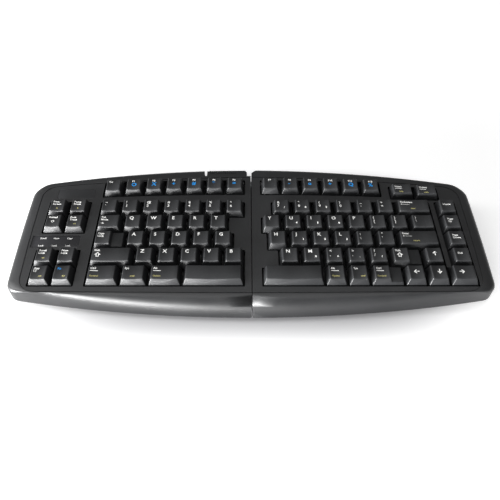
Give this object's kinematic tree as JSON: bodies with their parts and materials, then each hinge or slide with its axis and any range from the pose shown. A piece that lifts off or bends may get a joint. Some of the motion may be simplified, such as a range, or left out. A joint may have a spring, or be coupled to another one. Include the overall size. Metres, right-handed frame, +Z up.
{
  "type": "split keyboard",
  "caption": "Adjustable split keyboard: two keyed halves joined at the rear by a clamped ball joint that splays and tents, freed by a squeeze lever",
  "frame": {"origin": "middle of the footprint, on the desk", "axes": "+X to the user's right along the keyboard, +Y away from the user, +Z up"},
  "size_m": [0.4132, 0.1629, 0.0349],
  "materials": {
    "case_plastic": "satin moulded charcoal with a fine texture",
    "keycap_plastic": "matt black moulded caps",
    "base_plastic": "matt black",
    "dome_rubber": "soft translucent grey",
    "contact_film": "printed clear film",
    "plate_steel": "bare steel",
    "foot_rubber": "black rubber",
    "badge_plastic": "satin dark grey",
    "window_plastic": "smoked, glossy",
    "lamp_plastic": "green tinted",
    "board_laminate": "green laminate",
    "clamp_alloy": "cast, blasted",
    "liner_plastic": "white bearing plastic",
    "lever_plastic": "satin moulded charcoal"
  },
  "bodies": {
    "left_half": {"left_top_cover": "case_plastic", "left_base": "base_plastic", "left_key_deck": "base_plastic", "left_dome_sheet": "dome_rubber", "left_contact_sheet": "contact_film", "left_back_plate": "plate_steel", "left_screws": "plate_steel", "left_feet": "foot_rubber", "badge_plate": "badge_plastic", "indicator_window": "window_plastic", "indicator_lamps": "lamp_plastic", "controller_board": "board_laminate", "cable_gland": "foot_rubber", "clamp_housing": "clamp_alloy", "clamp_spring": "plate_steel", "lever_pin": "plate_steel"},
    "right_half": {"right_top_cover": "case_plastic", "right_base": "base_plastic", "right_key_deck": "base_plastic", "right_dome_sheet": "dome_rubber", "right_contact_sheet": "contact_film", "right_back_plate": "plate_steel", "right_screws": "plate_steel", "right_feet": "foot_rubber", "hinge_ball": "clamp_alloy"},
    "swivel": {"ball_seat": "liner_plastic"},
    "lever": {"lock_lever": "lever_plastic"},
    "jaw": {"clamp_jaw": "clamp_alloy"},
    "escape_key_body": {"escape_key": "keycap_plastic"},
    "f1_to_f6_keys_body": {"f1_to_f6_keys": "keycap_plastic"},
    "left_number_keys_body": {"left_number_keys": "keycap_plastic"},
    "tab_key_body": {"tab_key": "keycap_plastic"},
    "qwert_keys_body": {"qwert_keys": "keycap_plastic"},
    "caps_lock_key_body": {"caps_lock_key": "keycap_plastic"},
    "asdfg_keys_body": {"asdfg_keys": "keycap_plastic"},
    "left_shift_key_body": {"left_shift_key": "keycap_plastic"},
    "zxcvb_keys_body": {"zxcvb_keys": "keycap_plastic"},
    "left_control_key_body": {"left_control_key": "keycap_plastic"},
    "left_system_key_body": {"left_system_key": "keycap_plastic"},
    "left_alt_key_body": {"left_alt_key": "keycap_plastic"},
    "left_space_key_body": {"left_space_key": "keycap_plastic"},
    "upper_side_keys_body": {"upper_side_keys": "keycap_plastic"},
    "lower_side_keys_body": {"lower_side_keys": "keycap_plastic"},
    "f7_to_f12_keys_body": {"f7_to_f12_keys": "keycap_plastic"},
    "right_number_keys_body": {"right_number_keys": "keycap_plastic"},
    "backspace_key_body": {"backspace_key": "keycap_plastic"},
    "yuiop_keys_body": {"yuiop_keys": "keycap_plastic"},
    "backslash_key_body": {"backslash_key": "keycap_plastic"},
    "hjkl_keys_body": {"hjkl_keys": "keycap_plastic"},
    "enter_key_body": {"enter_key": "keycap_plastic"},
    "nm_keys_body": {"nm_keys": "keycap_plastic"},
    "right_shift_key_body": {"right_shift_key": "keycap_plastic"},
    "right_space_key_body": {"right_space_key": "keycap_plastic"},
    "right_alt_key_body": {"right_alt_key": "keycap_plastic"},
    "right_system_key_body": {"right_system_key": "keycap_plastic"},
    "right_control_key_body": {"right_control_key": "keycap_plastic"},
    "arrow_keys_body": {"arrow_keys": "keycap_plastic"},
    "page_keys_body": {"page_keys": "keycap_plastic"},
    "insert_delete_keys_body": {"insert_delete_keys": "keycap_plastic"}
  },
  "joints": [
    {"name": "splay", "type": "hinge", "parent": "left_half", "child": "swivel", "pos_m": [0, 0.07211, 0.0095], "axis": [0, 0, 1], "range_deg": [0, 30]},
    {"name": "tent", "type": "hinge", "parent": "swivel", "child": "right_half", "pos_m": [0, 0.07211, 0.0095], "axis": [0, 0.9994, 0.0358], "range_deg": [0, 30]},
    {"name": "lever_squeeze", "type": "hinge", "parent": "left_half", "child": "lever", "pos_m": [-0.01, 0.06911, 0.0205], "axis": [0, 0, 1], "range_deg": [0, 8], "stiffness_Nm_per_rad": 0.5},
    {"name": "jaw_release", "type": "slide", "parent": "left_half", "child": "jaw", "axis": [-1, 0, 0], "range_m": [0, 0.0012], "deforming": ["clamp_spring"]},
    {"name": "press_escape_key", "type": "slide", "parent": "left_half", "child": "escape_key_body", "axis": [0, 0.0698, -0.9976], "range_m": [0, 0.0038], "stiffness_N_per_m": 135, "deforming": ["left_dome_sheet"]},
    {"name": "press_f1_to_f6_keys", "type": "slide", "parent": "left_half", "child": "f1_to_f6_keys_body", "axis": [0, 0.0698, -0.9976], "range_m": [0, 0.0038], "stiffness_N_per_m": 135, "deforming": ["left_dome_sheet"]},
    {"name": "press_left_number_keys", "type": "slide", "parent": "left_half", "child": "left_number_keys_body", "axis": [0, 0.0698, -0.9976], "range_m": [0, 0.0038], "stiffness_N_per_m": 135, "deforming": ["left_dome_sheet"]},
    {"name": "press_tab_key", "type": "slide", "parent": "left_half", "child": "tab_key_body", "axis": [0, 0.0698, -0.9976], "range_m": [0, 0.0038], "stiffness_N_per_m": 135, "deforming": ["left_dome_sheet"]},
    {"name": "press_qwert_keys", "type": "slide", "parent": "left_half", "child": "qwert_keys_body", "axis": [0, 0.0698, -0.9976], "range_m": [0, 0.0038], "stiffness_N_per_m": 135, "deforming": ["left_dome_sheet"]},
    {"name": "press_caps_lock_key", "type": "slide", "parent": "left_half", "child": "caps_lock_key_body", "axis": [0, 0.0698, -0.9976], "range_m": [0, 0.0038], "stiffness_N_per_m": 135, "deforming": ["left_dome_sheet"]},
    {"name": "press_asdfg_keys", "type": "slide", "parent": "left_half", "child": "asdfg_keys_body", "axis": [0, 0.0698, -0.9976], "range_m": [0, 0.0038], "stiffness_N_per_m": 135, "deforming": ["left_dome_sheet"]},
    {"name": "press_left_shift_key", "type": "slide", "parent": "left_half", "child": "left_shift_key_body", "axis": [0, 0.0698, -0.9976], "range_m": [0, 0.0038], "stiffness_N_per_m": 135, "deforming": ["left_dome_sheet"]},
    {"name": "press_zxcvb_keys", "type": "slide", "parent": "left_half", "child": "zxcvb_keys_body", "axis": [0, 0.0698, -0.9976], "range_m": [0, 0.0038], "stiffness_N_per_m": 135, "deforming": ["left_dome_sheet"]},
    {"name": "press_left_control_key", "type": "slide", "parent": "left_half", "child": "left_control_key_body", "axis": [0, 0.0698, -0.9976], "range_m": [0, 0.0038], "stiffness_N_per_m": 135, "deforming": ["left_dome_sheet"]},
    {"name": "press_left_system_key", "type": "slide", "parent": "left_half", "child": "left_system_key_body", "axis": [0, 0.0698, -0.9976], "range_m": [0, 0.0038], "stiffness_N_per_m": 135, "deforming": ["left_dome_sheet"]},
    {"name": "press_left_alt_key", "type": "slide", "parent": "left_half", "child": "left_alt_key_body", "axis": [0, 0.0698, -0.9976], "range_m": [0, 0.0038], "stiffness_N_per_m": 135, "deforming": ["left_dome_sheet"]},
    {"name": "press_left_space_key", "type": "slide", "parent": "left_half", "child": "left_space_key_body", "axis": [0, 0.0698, -0.9976], "range_m": [0, 0.0038], "stiffness_N_per_m": 135, "deforming": ["left_dome_sheet"]},
    {"name": "press_upper_side_keys", "type": "slide", "parent": "left_half", "child": "upper_side_keys_body", "axis": [0, 0.0698, -0.9976], "range_m": [0, 0.0038], "stiffness_N_per_m": 135, "deforming": ["left_dome_sheet"]},
    {"name": "press_lower_side_keys", "type": "slide", "parent": "left_half", "child": "lower_side_keys_body", "axis": [0, 0.0698, -0.9976], "range_m": [0, 0.0038], "stiffness_N_per_m": 135, "deforming": ["left_dome_sheet"]},
    {"name": "press_f7_to_f12_keys", "type": "slide", "parent": "right_half", "child": "f7_to_f12_keys_body", "axis": [0, 0.0698, -0.9976], "range_m": [0, 0.0038], "stiffness_N_per_m": 135, "deforming": ["right_dome_sheet"]},
    {"name": "press_right_number_keys", "type": "slide", "parent": "right_half", "child": "right_number_keys_body", "axis": [0, 0.0698, -0.9976], "range_m": [0, 0.0038], "stiffness_N_per_m": 135, "deforming": ["right_dome_sheet"]},
    {"name": "press_backspace_key", "type": "slide", "parent": "right_half", "child": "backspace_key_body", "axis": [0, 0.0698, -0.9976], "range_m": [0, 0.0038], "stiffness_N_per_m": 135, "deforming": ["right_dome_sheet"]},
    {"name": "press_yuiop_keys", "type": "slide", "parent": "right_half", "child": "yuiop_keys_body", "axis": [0, 0.0698, -0.9976], "range_m": [0, 0.0038], "stiffness_N_per_m": 135, "deforming": ["right_dome_sheet"]},
    {"name": "press_backslash_key", "type": "slide", "parent": "right_half", "child": "backslash_key_body", "axis": [0, 0.0698, -0.9976], "range_m": [0, 0.0038], "stiffness_N_per_m": 135, "deforming": ["right_dome_sheet"]},
    {"name": "press_hjkl_keys", "type": "slide", "parent": "right_half", "child": "hjkl_keys_body", "axis": [0, 0.0698, -0.9976], "range_m": [0, 0.0038], "stiffness_N_per_m": 135, "deforming": ["right_dome_sheet"]},
    {"name": "press_enter_key", "type": "slide", "parent": "right_half", "child": "enter_key_body", "axis": [0, 0.0698, -0.9976], "range_m": [0, 0.0038], "stiffness_N_per_m": 135, "deforming": ["right_dome_sheet"]},
    {"name": "press_nm_keys", "type": "slide", "parent": "right_half", "child": "nm_keys_body", "axis": [0, 0.0698, -0.9976], "range_m": [0, 0.0038], "stiffness_N_per_m": 135, "deforming": ["right_dome_sheet"]},
    {"name": "press_right_shift_key", "type": "slide", "parent": "right_half", "child": "right_shift_key_body", "axis": [0, 0.0698, -0.9976], "range_m": [0, 0.0038], "stiffness_N_per_m": 135, "deforming": ["right_dome_sheet"]},
    {"name": "press_right_space_key", "type": "slide", "parent": "right_half", "child": "right_space_key_body", "axis": [0, 0.0698, -0.9976], "range_m": [0, 0.0038], "stiffness_N_per_m": 135, "deforming": ["right_dome_sheet"]},
    {"name": "press_right_alt_key", "type": "slide", "parent": "right_half", "child": "right_alt_key_body", "axis": [0, 0.0698, -0.9976], "range_m": [0, 0.0038], "stiffness_N_per_m": 135, "deforming": ["right_dome_sheet"]},
    {"name": "press_right_system_key", "type": "slide", "parent": "right_half", "child": "right_system_key_body", "axis": [0, 0.0698, -0.9976], "range_m": [0, 0.0038], "stiffness_N_per_m": 135, "deforming": ["right_dome_sheet"]},
    {"name": "press_right_control_key", "type": "slide", "parent": "right_half", "child": "right_control_key_body", "axis": [0, 0.0698, -0.9976], "range_m": [0, 0.0038], "stiffness_N_per_m": 135, "deforming": ["right_dome_sheet"]},
    {"name": "press_arrow_keys", "type": "slide", "parent": "right_half", "child": "arrow_keys_body", "axis": [0, 0.0698, -0.9976], "range_m": [0, 0.0038], "stiffness_N_per_m": 135, "deforming": ["right_dome_sheet"]},
    {"name": "press_page_keys", "type": "slide", "parent": "right_half", "child": "page_keys_body", "axis": [0, 0.0698, -0.9976], "range_m": [0, 0.0038], "stiffness_N_per_m": 135, "deforming": ["right_dome_sheet"]},
    {"name": "press_insert_delete_keys", "type": "slide", "parent": "right_half", "child": "insert_delete_keys_body", "axis": [0, 0.0698, -0.9976], "range_m": [0, 0.0038], "stiffness_N_per_m": 135, "deforming": ["right_dome_sheet"]}
  ],
  "couplings": [
    {"joint": "jaw_release", "follows": "lever_squeeze", "m_per_rad": 0.00859}
  ]
}
